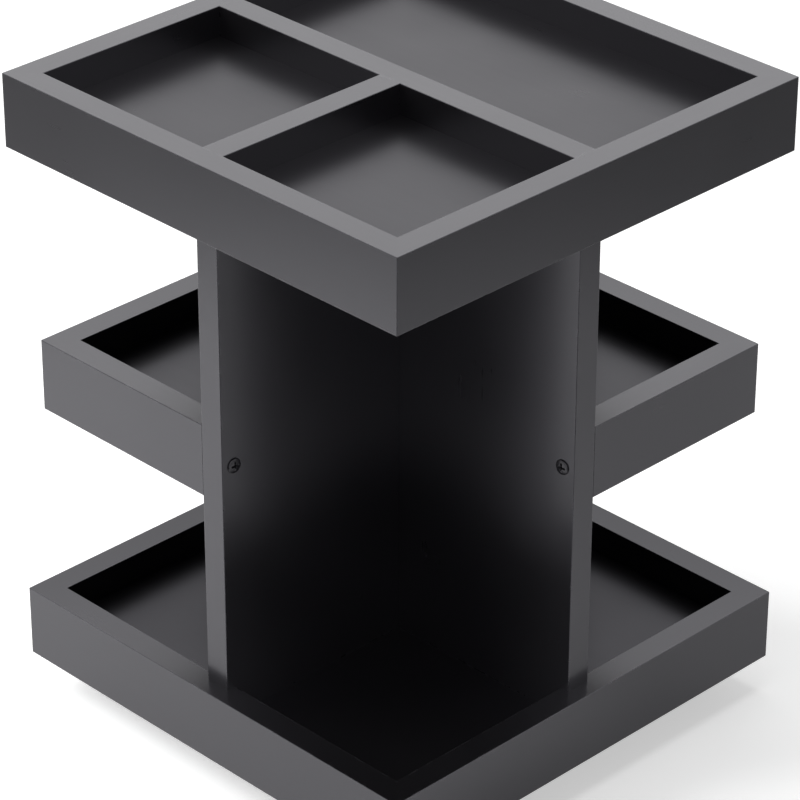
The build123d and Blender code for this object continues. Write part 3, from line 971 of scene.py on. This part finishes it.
class ORGANIZER_OT_set_stage(Operator):
    """Add the pale floor, the backdrop, the white surroundings, the softboxes and the camera"""

    bl_idname = "organizer.set_stage"
    bl_label = "Set stage"

    def execute(self, context):
        settings = context.scene.organizer_stage
        self.add_floor(settings)
        self.add_backdrop(settings)
        self.add_world(context, settings)
        for softbox in SOFTBOXES:
            add_softbox((cad_low + cad_high) / 2, *softbox)
        self.add_camera(context, settings)
        context.scene.view_settings.view_transform = "Standard"
        return {"FINISHED"}

    def add_floor(self, settings):
        """A wide floor that takes the shadow above and lets a view from below through.

        Light and reflections find it darker far away and in a band in front: painted shade, for
        light that falls off with distance and for less light from in front. The camera sees it
        pale all over, and white towards the horizon.
        """
        graph = Graph("pale_floor")
        across, along, _ = graph.axes()
        towards_camera = (across - along) * math.sqrt(0.5)
        # Painted shade on the floor: a band in front and a darkening far away, which light and
        # reflections see but the camera does not.
        shade_band_end = settings.shade_band_far - settings.shade_band_fade
        front = (towards_camera.step(settings.shade_band_near, settings.shade_band_near + settings.shade_band_fade)
                 * towards_camera.step(settings.shade_band_far, shade_band_end))
        beyond = towards_camera.step(shade_band_end, settings.shade_band_far)
        falloff_end = settings.sheet_radius + settings.falloff_fade
        far = graph.radius().step(settings.sheet_radius, falloff_end)
        seen = background_seen(graph, (1 - front) * settings.mirrored_share)
        # Colour of the painted shade, and where it lies.
        dark = tuple(c * settings.shade_share for c in settings.floor_color)
        darker = (far * (1 - beyond)).most(front) * (1 - seen)
        tone = graph.blend(darker, settings.floor_color, dark)
        diffuse = graph.node("ShaderNodeBsdfDiffuse", None, {"Color": tone})

        horizon = graph.radius().step(settings.horizon_near, settings.horizon_far)
        bright = horizon * (1 - settings.floor_glow) + settings.floor_glow
        glow = graph.node("ShaderNodeEmission", None, {"Color": WHITE, "Strength": seen * bright})
        lit = graph.node("ShaderNodeAddShader", None, {0: diffuse, 1: glow})
        clear = graph.node("ShaderNodeBsdfTransparent")
        below = graph.node("ShaderNodeNewGeometry", output="Backfacing")
        surface = graph.node("ShaderNodeMixShader", None, {0: below, 1: lit, 2: clear})
        corners = [(x * FLOOR_HALF_WIDTH, y * FLOOR_HALF_WIDTH, 0)
                   for x, y in ((-1, -1), (1, -1), (1, 1), (-1, 1))]
        add_sheet("floor", corners, graph.surface(surface))

    def add_backdrop(self, settings):
        """A wall behind the object, dimmer towards its foot, that only reflections show."""
        graph = Graph("backdrop_gradient")
        rise = graph.axes()[2].step(settings.backdrop_low, settings.backdrop_high)
        glow = rise * (1 - settings.backdrop_dimmest) + settings.backdrop_dimmest
        light = graph.node("ShaderNodeEmission", None, {"Color": glow, "Strength": 1.0})
        away = Vector((-1, 1, 0)).normalized() * settings.backdrop_distance
        aside = Vector((1, 1, 0)).normalized() * BACKDROP_HALF_WIDTH
        top = Vector((0, 0, settings.backdrop_high))
        corners = [away - aside, away + aside, away + aside + top, away - aside + top]
        wall = add_sheet("backdrop", corners, graph.surface(light))
        wall.visible_camera = False
        wall.visible_diffuse = False
        wall.visible_transmission = False
        wall.visible_shadow = False

    def add_world(self, context, settings):
        """White where the camera, a reflection or glass looks at it, dimmer as light."""
        world = bpy.data.worlds.new("studio")
        context.scene.world = world
        graph = Graph(world)
        strength = background_seen(graph, 1.0) * (1 - settings.ambient) + settings.ambient
        background = graph.node("ShaderNodeBackground", None,
                                {"Color": WHITE, "Strength": strength})
        graph.node("ShaderNodeOutputWorld", None, {"Surface": background})

    def add_camera(self, context, settings):
        """The photograph's camera: turned by its yaw, tipped by its pitch, rolled by its roll."""
        data = bpy.data.cameras.new("camera")
        data.sensor_width = 36
        data.lens = settings.lens
        data.clip_start = 0.05
        data.clip_end = 50
        turned = (Matrix.Rotation(settings.camera_yaw, 4, "Z")
                  @ Matrix.Rotation(math.pi / 2 - settings.camera_pitch, 4, "X")
                  @ Matrix.Rotation(settings.camera_roll, 4, "Z"))
        camera = add_object("camera", data)
        camera.matrix_world = Matrix.Translation(settings.camera_at) @ turned
        context.scene.camera = camera


class ORGANIZER_PT_panel(Panel):
    """Lists the settings and the steps in the sidebar"""

    bl_idname = "ORGANIZER_PT_panel"
    bl_label = "Organizer"
    bl_space_type = "VIEW_3D"
    bl_region_type = "UI"
    bl_category = "Organizer"

    def draw(self, context):
        for group in GROUPS:
            settings = getattr(context.scene, group)
            column = self.layout.column(align=True)
            for name in settings.bl_rna.properties.keys():
                if name not in ("rna_type", "name"):
                    column.prop(settings, name)
        for operator in STEPS:
            self.layout.operator(operator.bl_idname)


GROUPS = {
    "organizer_paint": PaintSettings,
    "organizer_fasteners": FastenerSettings,
    "organizer_hardware": HardwareSettings,
    "organizer_stage": StageSettings,
}
STEPS = (
    ORGANIZER_OT_paint_boards,
    ORGANIZER_OT_make_shelf_screws,
    ORGANIZER_OT_make_zinc_screws,
    ORGANIZER_OT_make_dowels,
    ORGANIZER_OT_finish_turntable,
    ORGANIZER_OT_set_stage,
)


def register():
    """Adds the settings, the operators and the panel."""
    for cls in (*GROUPS.values(), *STEPS, ORGANIZER_PT_panel):
        bpy.utils.register_class(cls)
    for name, group in GROUPS.items():
        setattr(bpy.types.Scene, name, PointerProperty(type=group))


def unregister():
    """Takes them away again."""
    for name in GROUPS:
        delattr(bpy.types.Scene, name)
    for cls in (ORGANIZER_PT_panel, *reversed(STEPS), *GROUPS.values()):
        bpy.utils.unregister_class(cls)


def main():
    """Registers the add-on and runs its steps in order."""
    register()
    bpy.ops.organizer.paint_boards()
    bpy.ops.organizer.make_shelf_screws()
    bpy.ops.organizer.make_zinc_screws()
    bpy.ops.organizer.make_dowels()
    bpy.ops.organizer.finish_turntable()
    bpy.ops.organizer.set_stage()


if __name__ == "__main__":
    main()
